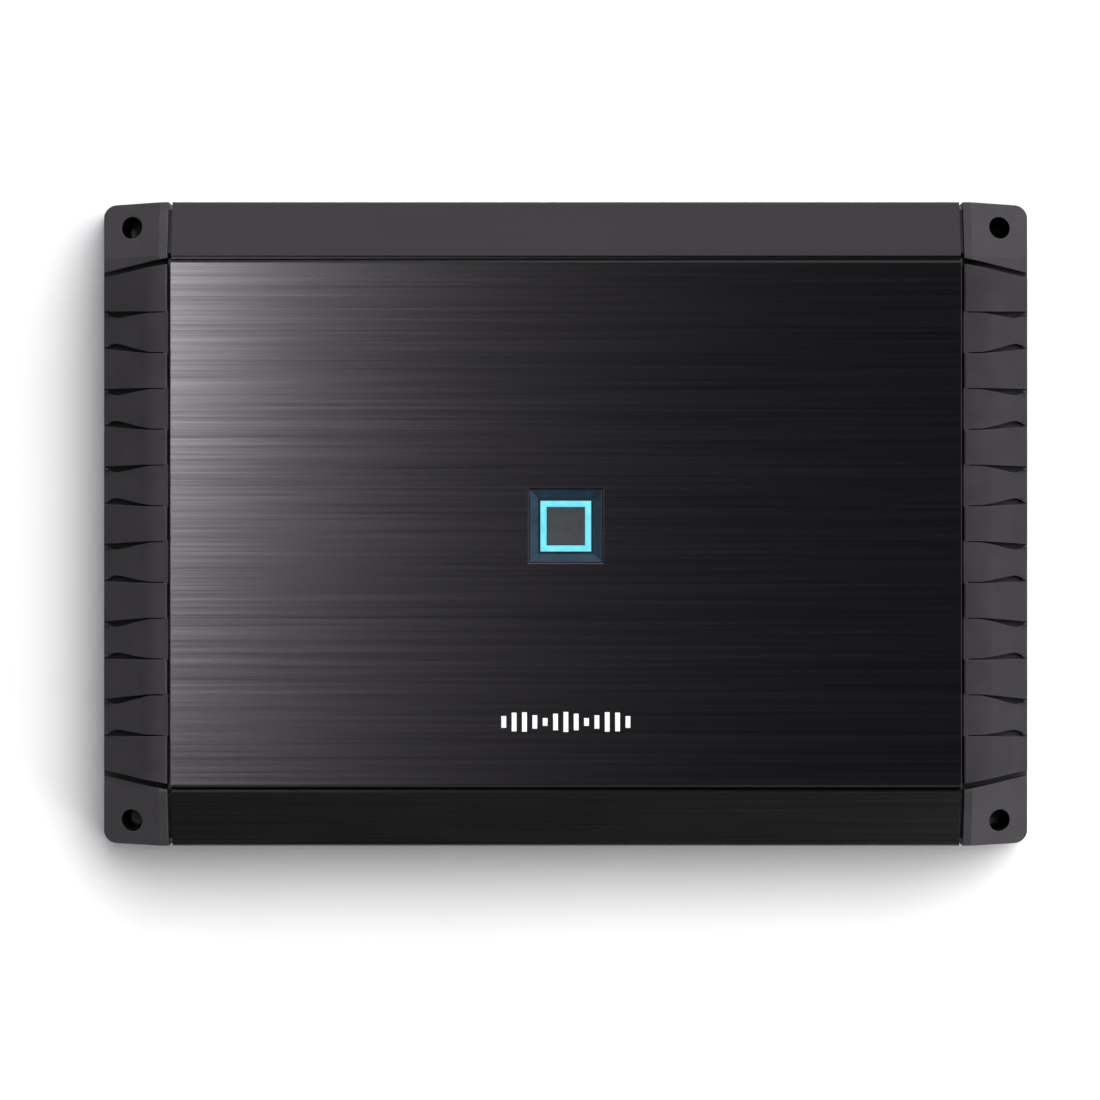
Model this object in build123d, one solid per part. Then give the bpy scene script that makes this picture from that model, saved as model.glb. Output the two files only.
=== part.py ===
# Car amplifier: an extruded heatsink casing with ribbed end caps, its connectors,
# controls and electronics.  Millimetres.  +X runs along the long side, +Y points to the
# power side, +Z up.  The origin is the middle of the surface that the four feet stand on.
from build123d import *
import os
from math import cos, hypot, pi, radians, sin, tan

# Overall size
LENGTH = 293.0            # over both end caps
DEPTH = 200.0             # over the heatsink's two shoulders
HEIGHT = 52.0             # mounting surface to the top plate

# Heatsink extrusion
SINK_HALF = 122.2         # half its length
DECK_TOP = 50.0
DECK_UNDER = 46.0
POCKET_HALF = 83.0        # half the width of the top plate's pocket
SHADOW_WIDTH = 1.0        # groove in the pocket's floor, along the plate's long edges
SHADOW_DEPTH = 2.5
SHOULDER_TOP = 51.2
SHOULDER_EDGE = 43.4      # where the shoulder's slope ends
SHOULDER_THICK = 3.4
LIP_BOTTOM = 37.0
LIP_THICK = 2.4
PANEL_RIB = 1.8           # ribs each side of the groove that holds a connector panel
RAIL_INNER = 64.0         # inner face of each rail that the transistors are clamped to
RAIL_THICK = 4.0
RAIL_BOTTOM = 24.0
PORTS = [(67.9, 22.0), (36.0, 43.6)]   # screw ports along the extrusion, |y| and z
PORT_RADIUS = 3.8
PILOT_RADIUS = 1.7

# Top plate
PLATE_HALF_X = 122.6
PLATE_HALF_Y = 82.1
PLATE_BEVEL_LONG = 1.3    # along the two long edges
PLATE_BEVEL_END = 0.35    # along the two short edges
MARK_Y = -61.3
MARK_BARS = 13
MARK_PITCH = 3.2
MARK_BAR_WIDTH = 1.5
MARK_LOW = 1.8
MARK_HIGH = 6.2
MARK_DEEP = 0.2

# Lit window
WINDOW_Y = -0.7
WINDOW_SIZE = 23.5
WINDOW_FLOOR_SIZE = 17.3
WINDOW_FLOOR_Z = 49.0
WINDOW_WALL = 43.0        # degrees that the window's walls lean outwards
WINDOW_RIM = 0.35         # polished bevel round the window in the top plate
RING_OUTER = 15.5
RING_INNER = 12.7
RING_FLANGE = 18.2
CENTRE_SIZE = 11.9
RING_TOP = 49.15
BEZEL_SIZE = 22.7
BEZEL_FLANGE = 29.6
BEZEL_FLANGE_UNDER = 48.7
BEZEL_NECK = 25.6
BEZEL_BOTTOM = 43.4
PIN_REACH = 11.2          # pins at the bezel's corners, which locate the indicator board

# End plates, caps and feet; x is given for the right-hand end
END_PLATE = 1.2
END_PLATE_DEEP = 2.2      # how far its edge lies below the heatsink's outline
END_PLATE_TOP = 46.0      # its middle, under the slot beside the top plate
CAP_INNER = SINK_HALF + END_PLATE
CAP_OUTER = LENGTH / 2
WALL_DRAFT = 4.0          # degrees that the outer end walls lean inwards
BEND_X = 129.5            # where a cap's level part meets its slope
BEND_RADIUS = 9.0
EDGE_RADIUS = 1.4         # along the outer edge of caps and feet
BLOCK_TOP = 51.5
BLOCK_OUTER_Z = 34.0
RECESS_TOP = 51.15
RECESS_OUTER_Z = 31.5
FOOT_BEND_X = 126.0       # where a foot's slope begins
FOOT_OUTER_Z = 29.5
CAP_BOTTOM = 3.0
BLOCK_COUNT = 7
BLOCK_PITCH_INNER = 23.7
BLOCK_PITCH_OUTER = 24.28
BLOCK_WIDTH_INNER = 10.7
BLOCK_WIDTH_OUTER = 12.66
BLOCK_DRAFT = 4.0         # degrees
# The crescent grooves beside each block: distance out from the bend, and width
CRESCENT = [
    (-5.0, 0.35), (-0.5, 0.45), (4.0, 1.1), (9.0, 2.0),
    (11.0, 2.1), (12.6, 1.5), (13.6, 0.7), (20.0, 0.6)]
CRESCENT_FLOOR = 9.0      # depth of the grooves below the slope
CRESCENT_WALL = 1.6       # wall round each groove, inside the cap
SPLIT_INNER = 82.3        # |y| of the foot's edge beside the cap, at the heatsink
SPLIT_OUTER = 78.2        # the same at the outer end
SPLIT_GAP = 1.9
BLOCK_INNER = 123.8       # where each raised block ends, short of the top plate
CAP_WALL = 2.6
FOOT_WALL = 3.0
FOOT_CORNER = 4.0
HOLE_X = 135.3
HOLE_Y = 92.4
HOLE_RADIUS = 3.5
SLEEVE_OUTER = 4.5
SLEEVE_BORE = 2.6
SLEEVE_HEIGHT = 8.5
CAP_SCREW_Y = 47.4
CAP_SCREW_Z = 14.0
FOOT_SCREW_Y = 84.8
FOOT_SCREW_Z = [13.0, 31.0]

# Base plate, side panels and board
BASE_BOTTOM = 3.0
SHEET = 1.2
PANEL_FACE = 90.0         # |y| of the outside of both connector panels
PANEL_THICK = 1.5
PANEL_BACK = PANEL_FACE - PANEL_THICK
PANEL_HALF_X = 121.9
PANEL_BOTTOM = BASE_BOTTOM + SHEET
PANEL_TOP = 41.0
FLANGE = 10.0
BOARD_BOTTOM = 10.0
BOARD_THICK = 1.6
BOARD_TOP = BOARD_BOTTOM + BOARD_THICK
BOARD_HALF_X = 116.0
BOARD_HALF_Y = 87.5
STANDOFFS = [(x, y) for x in (-111, 0, 111) for y in (-73, 73)]
BASE_SCREW_X = (-100, 0, 100)
BASE_SCREW_Y = 83.0
SCREW_HEAD_RADIUS = 3.6
SCREW_HEAD_HEIGHT = 2.3
SCREW_RADIUS = 1.65
FIT = 0.2                 # play round a piece in its cut-out
CLAMP_Z = 27.0
CLAMP_SCREW_RADIUS = 1.5

# Front panel (-Y): inputs and controls
CONTROL_Z = 24.0
JACK_X = {"left": -98.0, "right": -82.0}
JACK_TIP = 99.0
SHELL_OUTER = 4.15
SHELL_SHANK = 3.7         # radius of the shell inside its body
JACK_SEAT = 91.5          # |y| that a plug pushes home against
SHELL_INNER = 3.3
CONTACT_OUTER = 2.1
CONTACT_BORE = 1.65
KNOB_X = {"gain": -34.0, "lowpass": -12.0, "subsonic": 10.0, "bass_boost": 32.0}
KNOB_RADIUS = 6.2
KNOB_FLUTES = 20
SHAFT_RADIUS = 3.0
SWITCH_X = {"level": -58.0, "phase": 55.0}
SWITCH_TRAVEL = 5.0
SLIDER = (5.0, 4.2)       # width and height of a switch's slider
REMOTE_X = 82.0
LENS_X = 104.0

# Rear panel (+Y): power and speaker terminals, and fuses
TERMINAL_Z = 25.6
CELL_FLOOR = 88.0
BLOCK_FACE = 98.5
BLOCK_LEFT = -10.0
BARRIER = 3.0
CELL_BOTTOM = 14.2
CELL_TOP = 33.4
# name, cell width, screw radius, head radius, half the saddle's side
TERMINALS = [
    ("ground", 17.0, 2.5, 4.6, 6.3),
    ("remote", 12.0, 2.0, 3.8, 4.8),
    ("battery", 17.0, 2.5, 4.6, 6.3),
    ("speaker_minus", 14.0, 2.0, 3.8, 5.4),
    ("speaker_plus", 14.0, 2.0, 3.8, 5.4),
]
FUSE_X = {"left": -95.0, "right": -75.0}
FUSE_Z = 24.5
FUSE_BLADE_Z = 4.7        # the blades' middles, above and below the fuse's own

# Inside
TRANSFORMER = (-62.0, 0.0)
CORE_RADII = (11.0, 21.0)
CORE_Z = (15.0, 31.0)
WINDING_RADII = (8.0, 24.0)
WINDING_Z = (12.0, 34.0)
LEAD_POINTS = [
    (0, 7, 36), (0, 7, 30.5), (1, 12.5, 26), (3, 22, 24.5),
    (2, 32, 25.5), (0, 40, 24.5), (0, 40, 19)]
LEAD_RADIUS = 1.1


# ---------------------------------------------------------------- helpers

def block(x0, x1, y0, y1, z0, z1):
    """A plain block between these limits."""
    return Pos((x0 + x1) / 2, (y0 + y1) / 2, (z0 + z1) / 2) * Box(x1 - x0, y1 - y0, z1 - z0)


def rod_x(y, z, x0, x1, radius):
    return Pos((x0 + x1) / 2, y, z) * Rot(0, 90, 0) * Cylinder(radius, abs(x1 - x0))


def rod_y(x, z, y0, y1, radius):
    return Pos(x, (y0 + y1) / 2, z) * Rot(90, 0, 0) * Cylinder(radius, abs(y1 - y0))


def rod_z(x, y, z0, z1, radius):
    return Pos(x, y, (z0 + z1) / 2) * Cylinder(radius, abs(z1 - z0))


def along_x(outline, x0, x1):
    """A closed outline of (y, z) points, extruded from x0 to x1."""
    face = make_face(Polyline(*outline, close=True))
    return extrude(Plane.YZ.offset(x0) * face, amount=x1 - x0)


def along_y(outline, y0, y1):
    """A closed outline of (x, z) points, extruded from y0 to y1."""
    face = make_face(Polyline(*outline, close=True))
    return extrude(Plane.XZ.offset(-y1) * face, amount=y1 - y0)


def along_z(outline, z0, z1):
    """A closed outline of (x, y) points, extruded from z0 to z1."""
    face = make_face(Polyline(*outline, close=True))
    return extrude(Plane.XY.offset(z0) * face, amount=z1 - z0)


def square_prism(size, z0, z1, y=0.0):
    return Pos(0, y, (z0 + z1) / 2) * Box(size, size, z1 - z0)


def both_halves(half):
    """A whole outline from its +Y half."""
    return half + [(-u, v) for u, v in reversed(half)]


def at_left(shape):
    return mirror(shape, about=Plane.YZ)


def at_front(shape):
    return mirror(shape, about=Plane.XZ)


def group(*shapes):
    """Separate solids kept side by side in one node."""
    solids = []
    for shape in shapes:
        solids.extend(shape.solids())
    return Compound(children=solids)


# ---------------------------------------------------------------- casing

def shoulder_height(y):
    """Height of the shoulder's sloping top at a distance y from the middle."""
    fall = (SHOULDER_TOP - SHOULDER_EDGE) / (DEPTH / 2 - 0.4 - POCKET_HALF)
    return SHOULDER_TOP - fall * (y - POCKET_HALF)


def heatsink():
    half = DEPTH / 2
    lip = half - LIP_THICK
    groove_in = PANEL_BACK - FIT
    groove_out = PANEL_FACE + FIT
    outer_rib = groove_out + PANEL_RIB
    inner_rib = groove_in - PANEL_RIB
    rib_bottom = PANEL_TOP - 3.0
    profile = both_halves([
        (POCKET_HALF - SHADOW_WIDTH, DECK_TOP),
        (POCKET_HALF - SHADOW_WIDTH, DECK_TOP - SHADOW_DEPTH),
        (POCKET_HALF, DECK_TOP - SHADOW_DEPTH),
        (POCKET_HALF, SHOULDER_TOP),
        (half - 0.4, SHOULDER_EDGE),
        (half, SHOULDER_EDGE - 0.5),
        (half, LIP_BOTTOM),
        (lip, LIP_BOTTOM),
        (lip, shoulder_height(lip) - SHOULDER_THICK),
        (outer_rib, shoulder_height(outer_rib) - SHOULDER_THICK),
        (outer_rib, rib_bottom),
        (groove_out, rib_bottom),
        (groove_out, PANEL_TOP + 1.0),
        (groove_in, PANEL_TOP + 1.0),
        (groove_in, rib_bottom),
        (inner_rib, rib_bottom),
        (inner_rib, DECK_UNDER),
        (RAIL_INNER + RAIL_THICK, DECK_UNDER),
        (RAIL_INNER + RAIL_THICK, RAIL_BOTTOM),
        (RAIL_INNER, RAIL_BOTTOM),
        (RAIL_INNER, DECK_UNDER),
    ])
    sink = along_x(profile, -SINK_HALF, SINK_HALF)
    ports = [(side * y, z) for y, z in PORTS for side in (-1, 1)]
    for y, z in ports:
        sink += rod_x(y, z, -SINK_HALF, SINK_HALF, PORT_RADIUS)
    for y, z in ports:
        sink -= rod_x(y, z, -SINK_HALF - 1, SINK_HALF + 1, PILOT_RADIUS)
    sink -= block(-SINK_HALF, SINK_HALF, -POCKET_HALF, POCKET_HALF, DECK_TOP, HEIGHT)
    for x in clamp_places():
        for side in (-1, 1):
            start, end = side * (RAIL_INNER - 1), side * (RAIL_INNER + RAIL_THICK + 1)
            sink -= rod_y(x, CLAMP_Z, start, end, CLAMP_SCREW_RADIUS)
    sink -= square_prism(BEZEL_NECK + 2 * FIT, DECK_UNDER - 1, DECK_TOP + 1, WINDOW_Y)
    sink -= square_prism(BEZEL_FLANGE + 2 * FIT, BEZEL_FLANGE_UNDER - 0.1, DECK_TOP + 1, WINDOW_Y)
    return sink


def mark_bars(depth_below, top):
    """Upright bars of a level meter, lying flat in the top plate."""
    middle = (MARK_BARS - 1) / 2
    bars = []
    for index in range(MARK_BARS):
        x = (index - middle) * MARK_PITCH
        swing = abs(cos(pi * (index - middle) / 4.4))
        height = MARK_LOW + (MARK_HIGH - MARK_LOW) * swing
        bar = Box(MARK_BAR_WIDTH, height, top - depth_below)
        bars.append(Pos(x, MARK_Y, (top + depth_below) / 2) * bar)
    return bars


def top_plate():
    side = both_halves([
        (PLATE_HALF_Y, DECK_TOP),
        (PLATE_HALF_Y, HEIGHT - PLATE_BEVEL_LONG),
        (PLATE_HALF_Y - PLATE_BEVEL_LONG, HEIGHT),
    ])
    end = both_halves([
        (PLATE_HALF_X, DECK_TOP),
        (PLATE_HALF_X, HEIGHT - PLATE_BEVEL_END),
        (PLATE_HALF_X - PLATE_BEVEL_END, HEIGHT),
    ])
    plate = along_x(side, -PLATE_HALF_X, PLATE_HALF_X) & along_y(end, -PLATE_HALF_Y, PLATE_HALF_Y)
    narrow = WINDOW_SIZE - 2 * WINDOW_RIM
    plate -= square_prism(narrow, DECK_TOP - 1, HEIGHT + 1, WINDOW_Y)
    flare = Pos(0, WINDOW_Y, HEIGHT - WINDOW_RIM) * Rectangle(narrow, narrow)
    plate -= extrude(flare, amount=WINDOW_RIM + 0.1, taper=-45)
    for bar in mark_bars(HEIGHT - MARK_DEEP, HEIGHT + 1):
        plate -= bar
    return plate


def plate_mark():
    return group(*mark_bars(HEIGHT - MARK_DEEP, HEIGHT))


def window_bezel():
    """The sunk frame with sloping walls, and the skirt below it that holds the light guide."""
    body = square_prism(BEZEL_SIZE, DECK_TOP - 1, HEIGHT - 0.5, WINDOW_Y)
    body += square_prism(BEZEL_FLANGE, BEZEL_FLANGE_UNDER, DECK_TOP, WINDOW_Y)
    body += square_prism(BEZEL_NECK, BEZEL_BOTTOM, BEZEL_FLANGE_UNDER + 0.1, WINDOW_Y)
    opening = Pos(0, WINDOW_Y, WINDOW_FLOOR_Z) * Rectangle(WINDOW_FLOOR_SIZE, WINDOW_FLOOR_SIZE)
    body -= extrude(opening, amount=HEIGHT - WINDOW_FLOOR_Z, taper=-WINDOW_WALL)
    body -= square_prism(RING_OUTER + FIT, 47, DECK_TOP, WINDOW_Y)
    body -= square_prism(RING_FLANGE + FIT, BEZEL_BOTTOM - 1, 48.0, WINDOW_Y)
    for x, y in pin_places():
        body += rod_z(x, y, 41.2, BEZEL_BOTTOM + 0.2, 0.8)
    return body


def pin_places():
    return [(x, WINDOW_Y + y) for x in (-PIN_REACH, PIN_REACH) for y in (-PIN_REACH, PIN_REACH)]


def light_guide():
    guide = square_prism(RING_OUTER, 43.7, RING_TOP, WINDOW_Y)
    guide += square_prism(RING_FLANGE, 46.6, 48.0, WINDOW_Y)
    guide -= square_prism(RING_INNER, 45.2, RING_TOP + 1, WINDOW_Y)
    return guide


def window_centre():
    tile = square_prism(CENTRE_SIZE, 45.2, RING_TOP, WINDOW_Y)
    return chamfer(tile.faces().sort_by(Axis.Z)[-1].edges(), 0.2)


def end_plate():
    """The right-hand end plate, which follows the heatsink's outline below its edge."""
    edge = DEPTH / 2 - END_PLATE_DEEP
    profile = both_halves([
        (SPLIT_INNER, END_PLATE_TOP),
        (POCKET_HALF + 1.0, SHOULDER_TOP - END_PLATE_DEEP - 0.5),
        (edge, SHOULDER_EDGE - END_PLATE_DEEP),
        (edge, CAP_BOTTOM + 0.5),
    ])
    plate = along_x(profile, SINK_HALF, CAP_INNER)
    for y, z in end_plate_holes():
        plate -= rod_x(y, z, SINK_HALF - 1, CAP_INNER + 1, SCREW_RADIUS)
    return plate


def end_plate_holes():
    places = PORTS + [(CAP_SCREW_Y, CAP_SCREW_Z)]
    places += [(FOOT_SCREW_Y, z) for z in FOOT_SCREW_Z]
    return places + [(-y, z) for y, z in places]


def wall_x(z, inset=0.0):
    """X of the drafted outer end wall at this height."""
    return CAP_OUTER - inset - z * tan(radians(WALL_DRAFT))


def sloped_body(inner_x, bottom, inset, outer_z, top_z, reach, bend_x=BEND_X, bend_radius=BEND_RADIUS):
    """A cap's form: level near the heatsink, a rounded bend, a slope and a drafted outer wall."""
    outline = [
        (inner_x, bottom), (wall_x(bottom, inset), bottom), (wall_x(outer_z, inset), outer_z),
        (bend_x, top_z), (inner_x, top_z)]
    body = along_y(outline, -reach, reach)
    level_edges = body.edges().filter_by(Axis.Y)
    bend = level_edges.sort_by_distance((bend_x, 0, top_z))[0]
    body = fillet(bend, bend_radius)
    outer = body.edges().filter_by(Axis.Y).sort_by_distance((wall_x(outer_z, inset), 0, outer_z))[0]
    return fillet(outer, EDGE_RADIUS)


def split_line(x, setback):
    """|y| of the slanting joint between cap and foot, moved in by setback."""
    along = (x - CAP_INNER) / (CAP_OUTER - CAP_INNER)
    return SPLIT_INNER + (SPLIT_OUTER - SPLIT_INNER) * along - setback


def cap_plan(setback, z0, z1):
    """The cap's outline seen from above, between its two slanting ends."""
    near = CAP_INNER - 4
    far = CAP_OUTER + 4
    right = [(near, split_line(near, setback)), (far, split_line(far, setback))]
    left = [(x, -y) for x, y in reversed(right)]
    return along_z(right + left, z0, z1)


def block_side(index, way, x):
    """|y| line of a raised block's side: level to the bend, then running straight outwards."""
    inner = index * BLOCK_PITCH_INNER + way * BLOCK_WIDTH_INNER / 2
    outer = index * BLOCK_PITCH_OUTER + way * BLOCK_WIDTH_OUTER / 2
    along = max(x - BEND_X, 0) / (CAP_OUTER - BEND_X)
    return inner + (outer - inner) * along


def is_end_side(index, way):
    """Whether this side of this block is the cap's own end, beside a foot."""
    return way * index == BLOCK_COUNT // 2


def raised_block(index):
    """One raised block, drafted so that it narrows upwards."""
    base_z = 20.0
    near = CAP_INNER - 10
    far = CAP_OUTER + 10
    grow = (BLOCK_TOP - base_z) * tan(radians(BLOCK_DRAFT))
    sides = []
    for way in (-1, 1):
        if is_end_side(index, way):
            ys = [way * DEPTH / 2] * 3
        else:
            ys = [block_side(index, way, x) + way * grow for x in (near, BEND_X, far)]
        sides.append(list(zip((near, BEND_X, far), ys)))
    face = make_face(Polyline(*sides[0], *reversed(sides[1]), close=True))
    wedge = extrude(Plane.XY.offset(base_z) * face, amount=HEIGHT + 2 - base_z, taper=BLOCK_DRAFT)
    form = sloped_body(BLOCK_INNER, 10, 0, BLOCK_OUTER_Z, BLOCK_TOP, SPLIT_INNER)
    return wedge & form & cap_plan(SPLIT_GAP, 10, HEIGHT)


def crescents(margin, floor_z):
    """The curved grooves beside the blocks, or with a margin the housings round them."""
    half_count = BLOCK_COUNT // 2
    grooves = []
    for index in range(-half_count, half_count + 1):
        for way in (-1, 1):
            if is_end_side(index, way):
                continue
            xs = [BEND_X + out for out, _ in CRESCENT]
            inner = [(x, block_side(index, way, x) - way * margin) for x in xs]
            outer = [
                (x, block_side(index, way, x) + way * (width + margin))
                for x, (_, width) in zip(xs, CRESCENT)]
            grooves.append(along_z(inner + outer[::-1], floor_z, HEIGHT + 1))
    return group(*grooves)


def end_cap():
    """The right-hand ribbed cap, a moulding that is open towards the end plate."""
    reach = SPLIT_INNER + 1
    cap = sloped_body(CAP_INNER, CAP_BOTTOM, 0, RECESS_OUTER_Z, RECESS_TOP, reach)
    cap &= cap_plan(0, 0, HEIGHT)
    gap = cap_plan(0, CAP_BOTTOM, HEIGHT + 1) - cap_plan(SPLIT_GAP, 0, HEIGHT + 2)
    gap -= sloped_body(CAP_INNER - 5, 0, -5, 18, 41, reach)
    half_count = BLOCK_COUNT // 2
    for index in range(-half_count, half_count + 1):
        cap += raised_block(index)
    cap -= gap
    cap -= block(CAP_INNER - 5, CAP_INNER, -reach, reach, 0, DECK_TOP + 0.05)
    cap += recess_tabs()
    groove_floor = sloped_body(
        CAP_INNER - 5, 0, -8, RECESS_OUTER_Z - CRESCENT_FLOOR, RECESS_TOP - CRESCENT_FLOOR, reach)
    cap -= crescents(0, 10) - groove_floor
    cap -= cap_cavity()
    for side in (-1, 1):
        y = side * CAP_SCREW_Y
        cap += rod_x(y, CAP_SCREW_Z, CAP_INNER, CAP_OUTER - 3, 6.2)
        cap -= rod_x(y, CAP_SCREW_Z, 133, CAP_OUTER + 1, SCREW_HEAD_RADIUS + 0.7)
        cap -= rod_x(y, CAP_SCREW_Z, CAP_INNER - 1, CAP_OUTER, SCREW_RADIUS + 0.2)
    return cap


def recess_tabs():
    """Tongues that carry each recess over the end of the heatsink, up to the top plate."""
    inner = PLATE_HALF_X + 0.5
    width = BLOCK_PITCH_INNER - BLOCK_WIDTH_INNER
    tabs = []
    for index in range(BLOCK_COUNT - 1):
        y = (index - (BLOCK_COUNT - 2) / 2) * BLOCK_PITCH_INNER
        tabs.append(block(inner, CAP_INNER + 1, y - width / 2, y + width / 2, DECK_TOP + 0.05, RECESS_TOP))
    return tabs


def cap_cavity():
    """The hollow in a cap, with its walls kept round the crescent grooves."""
    reach = SPLIT_OUTER - SPLIT_GAP - CAP_WALL
    hollow = sloped_body(
        CAP_INNER - 1, CAP_BOTTOM + CAP_WALL, CAP_WALL, RECESS_OUTER_Z - CAP_WALL,
        RECESS_TOP - CAP_WALL - 0.4, reach, BEND_X - 1, BEND_RADIUS - CAP_WALL)
    below = CRESCENT_FLOOR + 2.0
    housing_floor = sloped_body(CAP_INNER - 5, 0, -8, RECESS_OUTER_Z - below, RECESS_TOP - below, reach)
    return hollow - (crescents(CRESCENT_WALL, 10) - housing_floor)


def foot_form(margin):
    """The outer form of a corner foot, or its hollow when margin is the wall thickness."""
    half = DEPTH / 2 - margin
    inner_y = SPLIT_OUTER - 5
    near = CAP_INNER - (1 if margin else 0)
    profile = [
        (inner_y, -30),
        (half, -30),
        (half, SHOULDER_EDGE - 0.5 - margin),
        (half - 0.4, SHOULDER_EDGE - margin),
        (POCKET_HALF, SHOULDER_TOP - margin),
        (inner_y, SHOULDER_TOP - margin),
    ]
    face = make_face(Polyline(*profile, close=True))
    level = extrude(Plane.YZ.offset(near) * face, amount=FOOT_BEND_X - near)
    run = wall_x(FOOT_OUTER_Z) - FOOT_BEND_X
    drop = SHOULDER_TOP - FOOT_OUTER_Z
    start = Plane.YZ.offset(FOOT_BEND_X) * face
    slope = extrude(start, amount=1.3 * hypot(run, drop), dir=(run, 0, -drop))
    plan = along_z([
        (near, split_line(near, -margin)), (CAP_OUTER, split_line(CAP_OUTER, -margin)),
        (CAP_OUTER, half), (near, half)], margin, HEIGHT + 5)
    wall = along_y([
        (near, margin),
        (wall_x(margin, margin), margin),
        (wall_x(HEIGHT, margin), HEIGHT),
        (near, HEIGHT),
    ], inner_y, half)
    form = (level + slope) & plan & wall
    corner = form.edges().sort_by_distance((wall_x(10, margin), half, 10))[0]
    form = fillet(corner, max(FOOT_CORNER - margin, 0.8))
    if margin:
        return form
    outer_end = (wall_x(FOOT_OUTER_Z), (SPLIT_OUTER + POCKET_HALF) / 2, FOOT_OUTER_Z)
    outer = form.edges().sort_by_distance(outer_end)[0]
    return fillet(outer, EDGE_RADIUS)


def foot():
    """The rear right foot: a hollow moulding round the mounting hole."""
    form = foot_form(0)
    shape = form - foot_form(FOOT_WALL)
    shape += rod_z(HOLE_X, HOLE_Y, 0, HEIGHT, HOLE_RADIUS + 3.2) & form
    for z in FOOT_SCREW_Z:
        shape += rod_x(FOOT_SCREW_Y, z, CAP_INNER, 136, 4.0) & form
    shape -= rod_z(HOLE_X, HOLE_Y, SLEEVE_HEIGHT, HEIGHT + 1, HOLE_RADIUS)
    shape -= rod_z(HOLE_X, HOLE_Y, -1, SLEEVE_HEIGHT, SLEEVE_OUTER)
    for z in FOOT_SCREW_Z:
        shape -= rod_x(FOOT_SCREW_Y, z, CAP_INNER - 1, 133, SCREW_RADIUS)
    return shape


def foot_sleeves():
    sleeve = rod_z(HOLE_X, HOLE_Y, 0, SLEEVE_HEIGHT, SLEEVE_OUTER)
    sleeve -= rod_z(HOLE_X, HOLE_Y, -1, SLEEVE_HEIGHT + 1, SLEEVE_BORE)
    pair = [sleeve, at_front(sleeve)]
    return group(*pair, *[at_left(piece) for piece in pair])


def base_plate():
    plate = block(-SINK_HALF + 0.4, SINK_HALF - 0.4, -PANEL_FACE, PANEL_FACE, BASE_BOTTOM, PANEL_BOTTOM)
    slot_length = 34.0
    slot = SlotOverall(slot_length, 4.0)
    for column in range(-2, 3):
        for row in range(-4, 5):
            place = Pos(column * 44, row * 13, BASE_BOTTOM - 1)
            plate -= extrude(place * slot, amount=SHEET + 2)
    for x, y in base_screw_places():
        plate -= rod_z(x, y, 0, 10, SCREW_RADIUS + 0.2)
    return plate


def base_screw_places():
    return [(x, side * BASE_SCREW_Y) for x in BASE_SCREW_X for side in (-1, 1)]


def panel_blank():
    """The rear panel before its cut-outs: an upright sheet with a flange at its foot."""
    panel = block(-PANEL_HALF_X, PANEL_HALF_X, PANEL_BACK, PANEL_FACE, PANEL_BOTTOM, PANEL_TOP)
    panel += block(-112, 112, PANEL_BACK - FLANGE, PANEL_BACK + 1, PANEL_BOTTOM, PANEL_BOTTOM + PANEL_THICK)
    for x in BASE_SCREW_X:
        panel -= rod_z(x, BASE_SCREW_Y, 0, 9, SCREW_RADIUS)
    return panel


def front_panel():
    panel = at_front(panel_blank())
    for x in JACK_X.values():
        panel -= rod_y(x, CONTROL_Z, -95, -80, 6.2 + FIT)
    for x in KNOB_X.values():
        panel -= rod_y(x, CONTROL_Z, -95, -80, 3.6 + FIT)
    for x in SWITCH_X.values():
        panel -= block(x - 5.6, x + 5.6, -95, -80, CONTROL_Z - 2.6, CONTROL_Z + 2.6)
    panel -= block(REMOTE_X - 8 - FIT, REMOTE_X + 8 + FIT, -95, -80, 16 - FIT, 31 + FIT)
    panel -= rod_y(LENS_X, CONTROL_Z, -95, -80, 2.0 + FIT / 2)
    return panel


def terminal_block_width():
    return BARRIER + sum(cell[1] + BARRIER for cell in TERMINALS)


def terminal_centres():
    """The x of each terminal, by name."""
    centres = {}
    edge = BLOCK_LEFT + BARRIER
    for name, width, *_ in TERMINALS:
        centres[name] = edge + width / 2
        edge += width + BARRIER
    return centres


def rear_panel():
    panel = panel_blank()
    right = BLOCK_LEFT + terminal_block_width()
    panel -= block(BLOCK_LEFT - FIT, right + FIT, 80, 95, BOARD_TOP, 36 + FIT)
    left, right = min(FUSE_X.values()) - 9, max(FUSE_X.values()) + 9
    panel -= block(left - FIT, right + FIT, 80, 95, BOARD_TOP, 37 + FIT)
    return panel


def screw(start, direction, length):
    """A pan-head casing screw; start is under its head and direction is where it goes in."""
    base = (Align.CENTER, Align.CENTER, Align.MIN)
    head = Cylinder(SCREW_HEAD_RADIUS, SCREW_HEAD_HEIGHT, align=base)
    head = fillet(head.edges().sort_by(Axis.Z)[-1], 1.0)
    for size in ((SCREW_HEAD_RADIUS, 0.9), (0.9, SCREW_HEAD_RADIUS)):
        head -= Pos(0, 0, SCREW_HEAD_HEIGHT) * Box(*size, 2.6)
    shank = Pos(0, 0, -length) * Cylinder(SCREW_RADIUS, length, align=base)
    return Plane(origin=start, z_dir=[-c for c in direction]) * (head + shank)


def casing_screws():
    screws = []
    for side in (-1, 1):
        for y, z in PORTS:
            screws.append(screw((CAP_INNER, side * y, z), (-1, 0, 0), 10))
        screws.append(screw((133, side * CAP_SCREW_Y, CAP_SCREW_Z), (-1, 0, 0), 12))
        for z in FOOT_SCREW_Z:
            screws.append(screw((SINK_HALF, side * FOOT_SCREW_Y, z), (1, 0, 0), 9))
    screws += [at_left(piece) for piece in screws]
    for x, y in base_screw_places():
        screws.append(screw((x, y, BASE_BOTTOM), (0, 0, 1), 5))
    return group(*screws)


# ---------------------------------------------------------------- front: inputs and controls

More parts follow.
